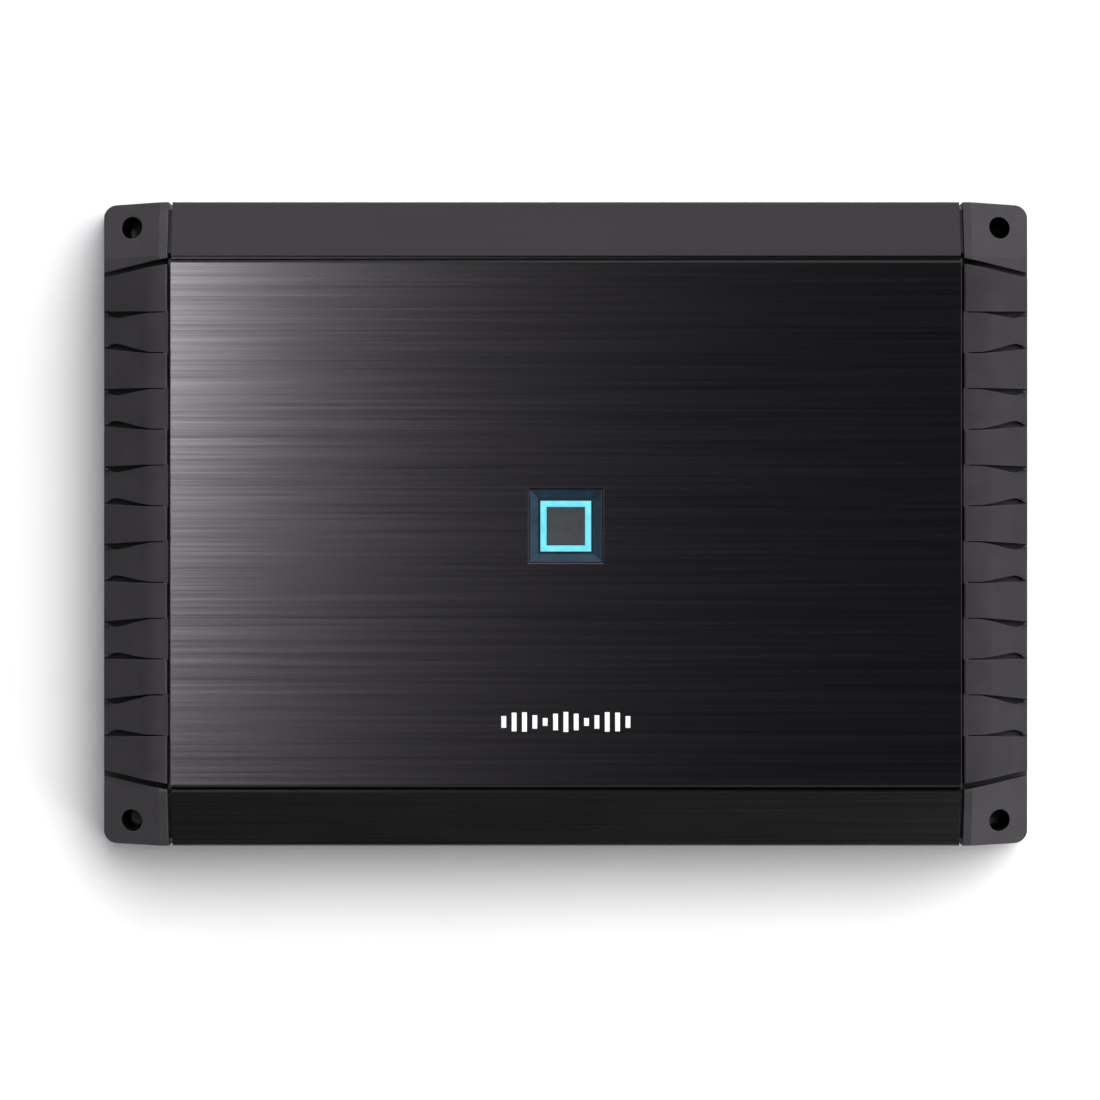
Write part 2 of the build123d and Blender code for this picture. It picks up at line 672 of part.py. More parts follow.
def input_jack_body():
    xs = list(JACK_X.values())
    body = block(min(xs) - 9, max(xs) + 9, -88.4, -74, BOARD_TOP, 33.5)
    for x in xs:
        body += rod_y(x, CONTROL_Z, -JACK_SEAT, -88, 6.2)
        body -= rod_y(x, CONTROL_Z, -JACK_SEAT - 1, -80, SHELL_SHANK)
        body -= rod_y(x, CONTROL_Z, -81, -77, CONTACT_OUTER)
    return body


def input_jack_shells():
    shells = []
    for x in JACK_X.values():
        shell = rod_y(x, CONTROL_Z, -JACK_TIP, -JACK_SEAT, SHELL_OUTER)
        shell += rod_y(x, CONTROL_Z, -JACK_SEAT - 1, -80, SHELL_SHANK)
        shells.append(shell - rod_y(x, CONTROL_Z, -JACK_TIP - 1, -79, SHELL_INNER))
    return group(*shells)


def jack_insulator(x):
    body = rod_y(x, CONTROL_Z, -JACK_TIP + 0.5, -80, SHELL_INNER)
    body -= rod_y(x, CONTROL_Z, -97, -79, CONTACT_OUTER)
    return body - rod_y(x, CONTROL_Z, -JACK_TIP, -79, CONTACT_BORE + 0.35)


def input_jack_contacts():
    contacts = []
    for x in JACK_X.values():
        contact = rod_y(x, CONTROL_Z, -97, -77, CONTACT_OUTER)
        contacts.append(contact - rod_y(x, CONTROL_Z, -98, -80, CONTACT_BORE))
    return group(*contacts)


def pot_bodies():
    bodies = []
    for x in KNOB_X.values():
        body = block(x - 5.8, x + 5.8, -88.4, -79, BOARD_TOP, 29.8)
        body += rod_y(x, CONTROL_Z, -90.4, -88, 3.6)
        bodies.append(body - rod_y(x, CONTROL_Z, -91, -81, SHAFT_RADIUS + 0.05))
    return group(*bodies)


def knob(x):
    """A fluted knob with a pointer groove, and the shaft that it turns."""
    grip = rod_y(x, CONTROL_Z, -98.8, -91.2, KNOB_RADIUS)
    grip = chamfer(grip.edges().sort_by(Axis.Y)[0], 0.6)
    for step in range(KNOB_FLUTES):
        angle = 2 * pi * (step + 0.5) / KNOB_FLUTES
        flute_x = x + KNOB_RADIUS * cos(angle)
        flute_z = CONTROL_Z + KNOB_RADIUS * sin(angle)
        grip -= rod_y(flute_x, flute_z, -99, -92.6, 0.45)
    grip -= block(x - 0.5, x + 0.5, -99, -98.1, CONTROL_Z + 1, CONTROL_Z + KNOB_RADIUS)
    return grip + rod_y(x, CONTROL_Z, -92, -82, SHAFT_RADIUS)


def switch_bodies():
    bodies = []
    for x in SWITCH_X.values():
        body = block(x - 9, x + 9, -88.4, -79, BOARD_TOP, 30)
        half = (SLIDER[0] + SWITCH_TRAVEL) / 2 + 0.4
        body -= block(x - half, x + half, -89, -83.4, CONTROL_Z - 2.5, CONTROL_Z + 2.5)
        bodies.append(body)
    return group(*bodies)


def switch_slider(x):
    """A slider at the left end of its slot, with a ribbed tip."""
    middle = x - SWITCH_TRAVEL / 2
    half = SLIDER[0] / 2
    low, high = CONTROL_Z - SLIDER[1] / 2, CONTROL_Z + SLIDER[1] / 2
    lug = block(middle - half, middle + half, -94.5, -83.8, low, high)
    for step in (-1, 0, 1):
        groove = middle + step * 1.4
        lug -= block(groove - 0.3, groove + 0.3, -95, -94, CONTROL_Z - 3, CONTROL_Z + 3)
    return lug


def remote_jack():
    """The socket of the wired bass control, open towards -Y, with a notch for the plug's latch."""
    body = block(REMOTE_X - 8, REMOTE_X + 8, -91, -74, 16, 31)
    body += block(REMOTE_X - 7, REMOTE_X + 7, -86, -75, BOARD_TOP, 16)
    body -= block(REMOTE_X - 6, REMOTE_X + 6, -92, -78, 18, 26)
    return body - block(REMOTE_X - 3, REMOTE_X + 3, -92, -80, 26, 28.6)


def status_lens():
    lens = rod_y(LENS_X, CONTROL_Z, -91.6, -88, 2.0)
    lens = fillet(lens.edges().sort_by(Axis.Y)[0], 1.4)
    lens += rod_y(LENS_X, CONTROL_Z, -88.4, -82, 2.7)
    return lens + block(LENS_X - 1.2, LENS_X + 1.2, -85, -83, BOARD_TOP, CONTROL_Z)


# ---------------------------------------------------------------- rear: terminals and fuses

def terminal_block():
    right = BLOCK_LEFT + terminal_block_width()
    body = block(BLOCK_LEFT, right, 80, BLOCK_FACE, BOARD_TOP, 36)
    centres = terminal_centres()
    for name, width, *_ in TERMINALS:
        x = centres[name]
        half = width / 2
        body -= block(x - half, x + half, CELL_FLOOR, BLOCK_FACE + 1, CELL_BOTTOM, CELL_TOP)
        body -= block(x - half + 1, x + half - 1, 91.5, BLOCK_FACE + 1, 0, CELL_BOTTOM + 1)
        body -= block(x - 5.2, x + 5.2, 79, CELL_FLOOR, 0, TERMINAL_Z + 5.2)
    return body


def terminal_contacts():
    """Each terminal's plate, threaded block and tail, and the leaf pairs that hold the fuses."""
    pieces = []
    centres = terminal_centres()
    for name, width, radius, *_ in TERMINALS:
        x = centres[name]
        half = width / 2 - 0.2
        contact = block(x - half, x + half, CELL_FLOOR, CELL_FLOOR + 1.5, CELL_BOTTOM + 0.2, CELL_TOP - 0.2)
        contact += block(x - 5, x + 5, 82, CELL_FLOOR, TERMINAL_Z - 5, TERMINAL_Z + 5)
        contact += block(x - 3, x + 3, 84, 86, BOARD_TOP, TERMINAL_Z)
        pieces.append(contact - rod_y(x, TERMINAL_Z, 80, 91, radius + 0.05))
    for x in FUSE_X.values():
        for z in (FUSE_Z - FUSE_BLADE_Z, FUSE_Z + FUSE_BLADE_Z):
            for way in (-1, 1):
                low, high = sorted((x + way * 0.65, x + way * 1.45))
                pieces.append(block(low, high, 79, 84.6, z - 2.5, z + 2.5))
    return group(*pieces)


def terminal_screw(x, radius, head_radius):
    head = rod_y(x, TERMINAL_Z, 91.6, 95.0, head_radius)
    head = fillet(head.edges().sort_by(Axis.Y)[-1], 0.8)
    arm = head_radius * 0.62
    for half_x, half_z in ((arm, 0.6), (0.6, arm)):
        head -= block(x - half_x, x + half_x, 93.1, 96, TERMINAL_Z - half_z, TERMINAL_Z + half_z)
    return head + rod_y(x, TERMINAL_Z, 79.5, 92, radius)


def terminal_saddle(x, radius, half):
    plate = block(x - half, x + half, 89.8, 91.3, TERMINAL_Z - half, TERMINAL_Z + half)
    plate = chamfer(plate.edges().filter_by(Axis.Y), 1.0)
    return plate - rod_y(x, TERMINAL_Z, 88, 93, radius + 0.08)


def fuse_holder():
    xs = list(FUSE_X.values())
    body = block(min(xs) - 9, max(xs) + 9, 78, 91.2, BOARD_TOP, 37)
    for x in xs:
        body -= block(x - 3.0, x + 3.0, 85, 92, FUSE_Z - 8.0, FUSE_Z + 8.0)
        for z in (FUSE_Z - FUSE_BLADE_Z, FUSE_Z + FUSE_BLADE_Z):
            body -= block(x - 1.5, x + 1.5, 77, 85.5, z - 3.0, z + 3.0)
    return body


def fuse_body(x):
    body = block(x - 2.6, x + 2.6, 85.3, 92.0, FUSE_Z - 7.6, FUSE_Z + 7.6)
    head = block(x - 2.6, x + 2.6, 91.6, 96.5, FUSE_Z - 9.5, FUSE_Z + 9.5)
    body += chamfer(head.edges().filter_by(Axis.X), 0.8)
    return body - block(x - 0.4, x + 0.4, 85, 94.5, FUSE_Z - 7.3, FUSE_Z + 7.3)


def fuse_blades(x):
    """Two blades and the thin link between them that melts."""
    blades = block(x - 0.35, x + 0.35, 91.0, 92.4, FUSE_Z - 2.5, FUSE_Z + 2.5)
    for way in (-1, 1):
        low, high = sorted((FUSE_Z + way * 2.1, FUSE_Z + way * 7.2))
        blades += block(x - 0.35, x + 0.35, 78.6, 94.0, low, high)
    return blades


# ---------------------------------------------------------------- inside

def main_board():
    board = block(-BOARD_HALF_X, BOARD_HALF_X, -BOARD_HALF_Y, BOARD_HALF_Y, BOARD_BOTTOM, BOARD_TOP)
    for x, y in STANDOFFS:
        board -= rod_z(x, y, 8, 14, 1.6)
    header = block(-5, 5, 37, 43, BOARD_TOP - 0.01, 19)
    return board + header


def board_fixings():
    """Standoffs under the board, their screws, and the screws of the transistor clamps."""
    pieces = []
    for x, y in STANDOFFS:
        foot_print = Pos(x, y, PANEL_BOTTOM) * RegularPolygon(3.2, 6)
        hexagon = extrude(foot_print, amount=BOARD_BOTTOM - PANEL_BOTTOM)
        stud = rod_z(x, y, BOARD_BOTTOM, BOARD_TOP, 1.5)
        cap = rod_z(x, y, BOARD_TOP, BOARD_TOP + 2.0, 2.8)
        pieces.append(hexagon + stud + cap)
    for x in clamp_places():
        for side in (-1, 1):
            head = rod_y(x, CLAMP_Z, side * 55.6, side * 57.7, 2.8)
            tip = side * (RAIL_INNER + RAIL_THICK - 1)
            pieces.append(head + rod_y(x, CLAMP_Z, side * 57.7, tip, CLAMP_SCREW_RADIUS))
    return group(*pieces)


def transistor_places():
    return [-91 + 26 * step for step in range(8)]


def clamp_places():
    """Each clamp sits midway between two transistors."""
    places = transistor_places()
    return [(places[2 * step] + places[2 * step + 1]) / 2 for step in range(4)]


def power_transistors():
    pieces = []
    for x in transistor_places():
        for side in (-1, 1):
            low, high = sorted((side * 59.2, side * 63.7))
            body = block(x - 5, x + 5, low, high, 18, 33)
            middle = (low + high) / 2
            for leg in (-2.54, 0, 2.54):
                body += block(x + leg - 0.4, x + leg + 0.4, middle - 0.3, middle + 0.3, BOARD_TOP, 18.5)
            pieces.append(body)
    return group(*pieces)


def thermal_pads():
    pieces = []
    for x in transistor_places():
        for side in (-1, 1):
            low, high = sorted((side * 63.7, side * RAIL_INNER))
            pieces.append(block(x - 6.5, x + 6.5, low, high, 24.2, 34.5))
    return group(*pieces)


def transistor_clamps():
    """Spring-steel bars, each pressing two transistors against a rail."""
    pieces = []
    for x in clamp_places():
        for side in (-1, 1):
            low, high = sorted((side * 57.7, side * 59.2))
            bar = block(x - 19, x + 19, low, high, 22.5, 31)
            pieces.append(bar - rod_y(x, CLAMP_Z, side * 50, side * 62, CLAMP_SCREW_RADIUS))
    return group(*pieces)


def ring_section(inner, outer, low, high, corner):
    """A rounded rectangle in the XZ plane, to be turned about Z."""
    middle = Pos((inner + outer) / 2, (low + high) / 2)
    return Plane.XZ * (middle * RectangleRounded(outer - inner, high - low, corner))


def transformer_core():
    ring = revolve(ring_section(*CORE_RADII, *CORE_Z, 1.0), Axis.Z)
    return Pos(*TRANSFORMER, 0) * ring


def transformer_winding():
    """Primary and secondary windings, one on each half of the ring core."""
    room = revolve(ring_section(*CORE_RADII, *CORE_Z, 1.0), Axis.Z)
    half = revolve(ring_section(*WINDING_RADII, *WINDING_Z, 3.0), Axis.Z, 150) - room
    windings = [Rot(0, 0, turn) * half for turn in (15, 195)]
    return group(*[Pos(*TRANSFORMER, 0) * winding for winding in windings])


def output_inductors():
    pieces = []
    for y in (-24, 24):
        body = block(49, 73, y - 12, y + 12, BOARD_TOP, 28)
        pieces.append(chamfer(body.edges().filter_by(Axis.Z), 4))
    return group(*pieces)


def capacitors():
    """Four tall electrolytic cans and three film capacitors."""
    pieces = []
    for x in (-28, 28):
        for y in (-20, 20):
            can = rod_z(x, y, BOARD_TOP, 39.5, 9)
            pieces.append(fillet(can.edges().sort_by(Axis.Z)[-1], 1.0))
    for y in (-28, 0, 28):
        film = block(84, 102, y - 4.5, y + 4.5, BOARD_TOP, 26)
        pieces.append(chamfer(film.edges().filter_by(Axis.Z), 1))
    return group(*pieces)


def control_chips():
    pieces = []
    for x in (-44, -22, 0, 22, 44):
        pieces.append(block(x - 5, x + 5, -50, -43, BOARD_TOP, BOARD_TOP + 2.2))
    for x in (-20, 20):
        pieces.append(block(x - 8, x + 8, 46, 53, BOARD_TOP, BOARD_TOP + 3.4))
    return group(*pieces)


def indicator_board():
    """The small board under the lit window, its light-emitting diodes and its header."""
    board = square_prism(26.4, 41.8, 43.4, WINDOW_Y)
    for x, y in pin_places():
        board -= rod_z(x, y, 40, 45, 0.85)
    header = block(-5, 5, 4, 10, 36, 41.81)
    pieces = [board + header]
    reach = (RING_OUTER + RING_INNER) / 4
    for step in range(8):
        angle = pi / 4 * step
        x = reach * max(-1, min(1, 1.42 * cos(angle)))
        y = reach * max(-1, min(1, 1.42 * sin(angle)))
        pieces.append(Pos(x, WINDOW_Y + y, 43.55) * Box(1.2, 1.2, 0.3))
    return group(*pieces)


def indicator_lead():
    """The sheathed lead from the lit window's board down to the main board."""
    points = [Vector(*point) for point in LEAD_POINTS]
    radii = []
    for before, here, after in zip(points, points[1:], points[2:]):
        turn = (here - before).get_angle(after - here)
        shorter = min((here - before).length, (after - here).length)
        radii.append(0.45 * shorter / tan(radians(turn / 2)))
    print("indicator lead bend radii:", [round(radius, 1) for radius in radii])
    path = FilletPolyline(*points, radius=radii)
    lead = sweep(Plane(path @ 0, z_dir=path % 0) * Circle(LEAD_RADIUS), path=path)
    expected = pi * LEAD_RADIUS ** 2 * path.length
    print("indicator lead volume:", round(lead.volume, 1), "expected:", round(expected, 1))
    return lead


# ---------------------------------------------------------------- the whole amplifier

def all_parts():
    cap = end_cap()
    rear_foot = foot()
    feet = group(rear_foot, at_front(rear_foot))
    plate = end_plate()
    parts = {
        "heatsink": heatsink(),
        "top_plate": top_plate(),
        "plate_mark": plate_mark(),
        "window_bezel": window_bezel(),
        "light_guide": light_guide(),
        "window_centre": window_centre(),
        "end_plates": group(plate, at_left(plate)),
        "end_cap_left": at_left(cap),
        "end_cap_right": cap,
        "feet_left": at_left(feet),
        "feet_right": feet,
        "foot_sleeves": foot_sleeves(),
        "base_plate": base_plate(),
        "front_panel": front_panel(),
        "rear_panel": rear_panel(),
        "casing_screws": casing_screws(),
        "input_jack_body": input_jack_body(),
        "input_jack_shells": input_jack_shells(),
        "input_jack_contacts": input_jack_contacts(),
        "pot_bodies": pot_bodies(),
        "switch_bodies": switch_bodies(),
        "remote_jack": remote_jack(),
        "status_lens": status_lens(),
        "terminal_block": terminal_block(),
        "terminal_contacts": terminal_contacts(),
        "fuse_holder": fuse_holder(),
        "main_board": main_board(),
        "board_fixings": board_fixings(),
        "power_transistors": power_transistors(),
        "thermal_pads": thermal_pads(),
        "transistor_clamps": transistor_clamps(),
        "transformer_core": transformer_core(),
        "transformer_winding": transformer_winding(),
        "output_inductors": output_inductors(),
        "capacitors": capacitors(),
        "control_chips": control_chips(),
        "indicator_board": indicator_board(),
        "indicator_lead": indicator_lead(),
    }
    for side, x in JACK_X.items():
        parts[f"jack_insulator_{side}"] = jack_insulator(x)
    for name, x in KNOB_X.items():
        parts[f"{name}_knob"] = knob(x)
    for name, x in SWITCH_X.items():
        parts[f"{name}_switch_slider"] = switch_slider(x)
    centres = terminal_centres()
    for name, width, radius, head_radius, saddle_half in TERMINALS:
        parts[f"{name}_terminal_screw"] = terminal_screw(centres[name], radius, head_radius)
        parts[f"{name}_terminal_saddle"] = terminal_saddle(centres[name], radius, saddle_half)
    for side, x in FUSE_X.items():
        parts[f"fuse_body_{side}"] = fuse_body(x)
        parts[f"fuse_blades_{side}"] = fuse_blades(x)
    return parts


os.makedirs("parts", exist_ok=True)
for node, shape in all_parts().items():
    export_step(shape, f"parts/{node}.step")
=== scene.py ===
import math
import random

import bmesh
import bpy
from mathutils import Matrix, Vector


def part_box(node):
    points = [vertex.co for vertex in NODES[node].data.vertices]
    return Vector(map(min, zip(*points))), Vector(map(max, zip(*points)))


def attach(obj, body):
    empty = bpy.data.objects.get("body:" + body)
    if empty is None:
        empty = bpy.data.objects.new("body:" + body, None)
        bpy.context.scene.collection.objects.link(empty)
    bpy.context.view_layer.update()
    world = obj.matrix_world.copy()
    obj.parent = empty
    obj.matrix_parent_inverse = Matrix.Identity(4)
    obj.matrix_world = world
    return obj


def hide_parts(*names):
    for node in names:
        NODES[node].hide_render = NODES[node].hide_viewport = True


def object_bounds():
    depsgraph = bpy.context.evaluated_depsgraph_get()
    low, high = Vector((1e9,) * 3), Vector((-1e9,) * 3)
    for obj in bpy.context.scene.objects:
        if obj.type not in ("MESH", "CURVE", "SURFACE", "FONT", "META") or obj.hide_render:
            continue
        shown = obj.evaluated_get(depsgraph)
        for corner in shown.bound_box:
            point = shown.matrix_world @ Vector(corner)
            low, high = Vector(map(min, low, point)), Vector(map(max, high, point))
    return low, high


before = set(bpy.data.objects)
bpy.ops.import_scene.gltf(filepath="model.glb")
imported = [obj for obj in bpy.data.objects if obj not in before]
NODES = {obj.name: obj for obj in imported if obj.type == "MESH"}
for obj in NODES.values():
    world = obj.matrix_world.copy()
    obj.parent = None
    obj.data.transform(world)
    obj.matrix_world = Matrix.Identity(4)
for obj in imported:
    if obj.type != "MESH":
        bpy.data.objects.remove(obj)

CAD_BOX = [list(corner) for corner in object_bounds()]
MM = 0.001

# places in the CAD that the added pieces go by
KNOBS = [name for name in NODES if name.endswith("_knob")]
CONTROL_Z = 24.0 * MM                           # height of the knobs' shafts
BOARD_UNDER = 10.0 * MM                         # underside of the main board
BOARD_TOP = 11.6 * MM
PLATE_FACE_HALF = Vector((122.0, 80.0)) * MM    # just inside the top plate's bevels
WINDING_HOLE = 8.0 * MM                         # radius of the hole through the wound transformer

# printed scale round each knob
KNOB_SWEEP = 280                                # degrees from one end stop to the other
SCALE_TICKS = 11
LONG_TICK_EVERY = 5
LONG_TICK = 1.5 * MM
SHORT_TICK = 1.0 * MM
SCALE_RADIUS = 7.4 * MM                         # from the shaft to the ticks' inner ends
TICK_HALF_WIDTH = 0.16 * MM
TICK_HALF_HEIGHT = 0.05 * MM                    # half the thickness of the ink

# white line in each knob's groove
POINTER_HALF_WIDTH = 0.4 * MM
POINTER_FRONT = 0.35 * MM                       # behind the knob's front face
POINTER_BACK = 0.68 * MM
POINTER_INNER = 1.2 * MM                        # from the shaft
POINTER_OUTER = 5.4 * MM

# plus and minus signs on the terminal block
SIGN_DROP = 1.3 * MM                            # below the block's top edge
SIGN_HALF_LENGTH = 0.8 * MM
SIGN_HALF_WIDTH = 0.18 * MM
SIGN_HALF_HEIGHT = 0.08 * MM

# transformer wire
WIRE_RADIUS = 0.38 * MM
WIRE_SIDES = 7
TURNS = 26                                      # on each of the two windings
WINDING_STARTS = (15, 195)                      # degrees
WINDING_SWEEP = 150
WINDING_CORNER = 2.6 * MM
CORNER_STEPS = (-45, -15, 15, 45)               # degrees either side of a corner's middle

# chip components on the board and soldered ends under it, laid out in millimetres
CHIP_COLUMNS = range(-50, 54, 6)
CHIP_ROWS = (-56, -39, 42, 57)
CHIP_SIZES = ((1.6, 0.8), (2.0, 1.25))
CHIP_HEIGHT = 0.6
CHIP_SHIFT = 0.8                                # most that one stands out of its row
LEAD_GAP_HALF = 9                               # half the gap in the back rows, where the lead lands
JOINT_COLUMNS = range(-100, 104, 8)
JOINT_ROWS = range(-52, 56, 8)
JOINT_SHIFT = 2
JOINT_RADIUS = (0.7, 1.1)
JOINT_HEIGHT = 1.1
BARE_SHARE = 0.45                               # of the places have no joint
TIP_SHARE = 0.35                                # a joint's tip against its foot

# stage, in metres
CAMERA_PLACE = (-4.9 * MM, -8.1 * MM, 2.0)
CAMERA_LENS = 206.1                             # millimetres, as is the sensor
CAMERA_SENSOR = 36.0
FLOOR_HALF = 6.0
KEY_DISTANCE = 2

# light from all round, by direction
BRIGHT_SIDE = (0.25, 0.93, 0.25)
SIDE_RANGE = (-0.5, 0.8)                        # from darkest to brightest, along BRIGHT_SIDE
SURROUND_BRIGHT = 1.2
SURROUND_DARK = 0.03
SURROUND_COLOUR = (1.02, 0.96, 1.03, 1.0)
OVERHEAD_FADE = (0.80, 0.55)                    # heights between which the surround comes in
ZENITH = 0.03


# ---------------------------------------------------------------- materials

def add_node(tree, kind, inputs=None, **settings):
    """A new node, with its settings made and its inputs set or linked."""
    node = tree.nodes.new(kind)
    for key, value in settings.items():
        setattr(node, key, value)
    for key, value in (inputs or {}).items():
        set_socket(tree, node.inputs[key], value)
    return node


def set_socket(tree, socket, value):
    """Links the socket when the value is another node's output, and sets it otherwise."""
    if isinstance(value, bpy.types.NodeSocket):
        tree.links.new(value, socket)
    else:
        socket.default_value = value


class Surface:
    """A procedural material: one Principled shader and the nodes that feed it."""

    def __init__(self, name, metallic=0.0, **sockets):
        self.material = bpy.data.materials.new(name)
        self.material.use_nodes = True
        self.tree = self.material.node_tree
        self.shader = self.tree.nodes["Principled BSDF"]
        self.place = self.add("ShaderNodeTexCoord").outputs["Object"]
        self.feed("Metallic", metallic)
        for socket, value in sockets.items():
            self.feed(socket.replace("_", " "), value)

    def add(self, kind, inputs=None, **settings):
        return add_node(self.tree, kind, inputs, **settings)

    def feed(self, socket, value):
        """Sets or links one of the shader's own sockets."""
        set_socket(self.tree, self.shader.inputs[socket], value)

    def noise(self, size, detail=2.0, stretch=(1, 1, 1)):
        """Noise with features about size metres across, drawn out along the axes by stretch."""
        scale = [1 / (size * s) for s in stretch]
        moved = self.add("ShaderNodeMapping", {"Vector": self.place, "Scale": scale}).outputs[0]
        return self.add("ShaderNodeTexNoise", {"Vector": moved, "Scale": 1.0, "Detail": detail}).outputs[0]

    def remap(self, value, low, high, source=(0.3, 0.7)):
        """The value stretched from the source range to low and high, and held there."""
        inputs = {"Value": value, "From Min": source[0], "From Max": source[1], "To Min": low, "To Max": high}
        return self.add("ShaderNodeMapRange", inputs).outputs[0]

    def maths(self, operation, a, b=0.0):
        return self.add("ShaderNodeMath", {0: a, 1: b}, operation=operation).outputs[0]

    def mix(self, share, colour_a, colour_b):
        """Colour A where the share is 0, colour B where it is 1."""
        inputs = {0: share, 6: rgba(colour_a), 7: rgba(colour_b)}
        return self.add("ShaderNodeMix", inputs, data_type="RGBA").outputs[2]

    def upward(self):
        """1 on faces that look straight up, 0 on upright ones."""
        true = self.add("ShaderNodeNewGeometry").outputs["Normal"]
        return self.add("ShaderNodeSeparateXYZ", {0: true}).outputs["Z"]

    def rounded(self, radius):
        """The surface normal as if every edge had this radius."""
        return self.add("ShaderNodeBevel", {"Radius": radius}, samples=4).outputs[0]

    def edges(self, rounded):
        """Near 1 along sharp edges and 0 on open faces."""
        true = self.add("ShaderNodeNewGeometry").outputs["Normal"]
        facing = self.add("ShaderNodeVectorMath", {0: rounded, 1: true}, operation="DOT_PRODUCT")
        return self.remap(facing.outputs["Value"], 1.0, 0.0, source=(0.80, 0.99))

    def bump(self, height, distance, normal):
        """The normal tilted by a height that spans distance metres."""
        inputs = {"Height": height, "Distance": distance, "Strength": 1.0, "Normal": normal}
        return self.add("ShaderNodeBump", inputs).outputs[0]


def rgba(colour):
    """A colour with its alpha; a socket stays as it is."""
    if isinstance(colour, bpy.types.NodeSocket):
        return colour
    return tuple(colour) + (1.0,)


def grey(level, warmth=0.0):
    """Grey, leaning a little towards red when warmth is above 0."""
    return (level * (1 + warmth), level, level * (1 - warmth))


def cast_grey(level):
    """Grey with the faint magenta cast of black dye."""
    return (level * 1.03, level * 0.97, level * 1.05)


def shaded(colour, factor, lift=0.0):
    """The colour made darker or lighter, never past full."""
    return [min(c * factor + lift, 1) for c in colour]


def moulded(name, colour, roughness, grain=0.25 * MM, depth=0.012 * MM, edge=0.25 * MM, wear_and_highlight=1.6, **sockets):
    """Moulded plastic or powder coat: fine grain, soft blotches, and edges lightened partly as wear from
    handling and partly as a painted highlight.
    """
    made = Surface(name, **sockets)
    blotch = made.noise(9 * MM, 4)
    speck = made.noise(grain, 2)
    light = shaded(colour, 1.14)
    rounded = made.rounded(edge)
    # edges lightened in the colour: partly wear, partly a painted highlight along the rims
    edge_wear_and_highlight = made.maths("MULTIPLY", made.edges(rounded), made.remap(blotch, 0.45, 1.0))
    body = made.mix(made.remap(blotch, 0, 1), shaded(colour, 0.86), light)
    body = made.mix(made.remap(speck, 0, 0.35), body, light)
    made.feed("Base Color", made.mix(edge_wear_and_highlight, body, shaded(colour, wear_and_highlight, 0.004)))
    uneven = made.maths("ADD", made.remap(blotch, -0.04, 0.04), made.remap(speck, -0.05, 0.05))
    made.feed("Roughness", made.maths("ADD", uneven, roughness))
    made.feed("Normal", made.bump(speck, depth, rounded))
    return made


def plated(name, colour, roughness, edge=0.15 * MM, streak=(1, 1, 1), **sockets):
    """Plated or bare metal: faint mottling, hairline scratches and edges painted brighter as a highlight."""
    made = Surface(name, metallic=1.0, **sockets)
    mottle = made.noise(2.5 * MM, 4)
    scratch = made.noise(0.12 * MM, 3, stretch=streak)
    rounded = made.rounded(edge)
    body = made.mix(made.remap(mottle, 0, 1), shaded(colour, 0.78), colour)
    # painted highlight: the edges are lightened in the base colour
    made.feed("Base Color", made.mix(made.edges(rounded), body, shaded(colour, 1.25, 0.03)))
    uneven = made.maths("ADD", made.remap(mottle, -0.06, 0.08), made.remap(scratch, -0.06, 0.06))
    made.feed("Roughness", made.maths("ADD", uneven, roughness))
    made.feed("Normal", made.bump(scratch, 0.004 * MM, rounded))
    return made


def bevel_shade_mask(made):
    """1 on the sloping edges round the outside of the plate, 0 on its face; painted shade goes there."""
    spot = made.add("ShaderNodeSeparateXYZ", {0: made.place}).outputs
    past_end = made.maths("SUBTRACT", made.maths("ABSOLUTE", spot["X"]), PLATE_FACE_HALF.x)
    past_side = made.maths("SUBTRACT", made.maths("ABSOLUTE", spot["Y"]), PLATE_FACE_HALF.y)
    outside = made.remap(made.maths("MAXIMUM", past_end, past_side), 0, 1, source=(0, 0.1 * MM))
    sloping = made.remap(made.upward(), 1.0, 0.0, source=(0.8, 0.95))
    return made.maths("MULTIPLY", outside, sloping)


def brushed_plate():
    """Black anodised aluminium, brushed along X, with its bevels painted darker as shade."""
    made = Surface("brushed_black_plate", metallic=1.0, Anisotropic=0.6)
    fine = 0.9                  # how much the hairlines and streaks count
    broad = 0.15                # how much the bands count
    spread = (-1.6, 1.6)        # range over which their sum is read
    hairline = made.noise(0.4 * MM, 3, stretch=(230, 1, 1))
    streak = made.noise(1.2 * MM, 3, stretch=(110, 1, 1))
    band = made.noise(4 * MM, 3, stretch=(30, 1, 1))
    lines = made.maths("ADD", made.remap(hairline, -fine, fine), made.remap(streak, -fine, fine))
    lines = made.maths("ADD", lines, made.remap(band, -broad, broad))
    body = made.mix(made.remap(lines, 0, 1, source=spread), cast_grey(0.078), cast_grey(0.180))
    # painted shade: the bevels are darkened in the colour, standing in for the dark surroundings they reflect
    made.feed("Base Color", made.mix(bevel_shade_mask(made), body, cast_grey(0.036)))
    made.feed("Roughness", made.remap(lines, 0.232, 0.226, source=spread))
    made.feed("Tangent", made.add("ShaderNodeCombineXYZ", {"Y": 1.0}).outputs[0])
    height = made.maths("ADD", made.maths("MULTIPLY", hairline, 0.6), made.maths("MULTIPLY", streak, 0.4))
    made.feed("Normal", made.bump(height, 0.0012 * MM, made.rounded(0.08 * MM)))
    return made


def sunk_bezel():
    """Sloping walls painted blue-grey as glow from the lit ring, with a near-black level floor."""
    made = moulded("gloss_bezel", (0.017, 0.036, 0.058), 0.30, depth=0.002 * MM, wear_and_highlight=3.0)
    glow_painted_walls = made.shader.inputs["Base Color"].links[0].from_socket
    # painted light: the sloping walls keep a blue-grey standing in for the ring's glow on them; level faces
    # go near black
    level = made.remap(made.upward(), 0, 1, source=(0.85, 0.95))
    made.feed("Base Color", made.mix(level, glow_painted_walls, (0.003, 0.004, 0.006)))
    return made


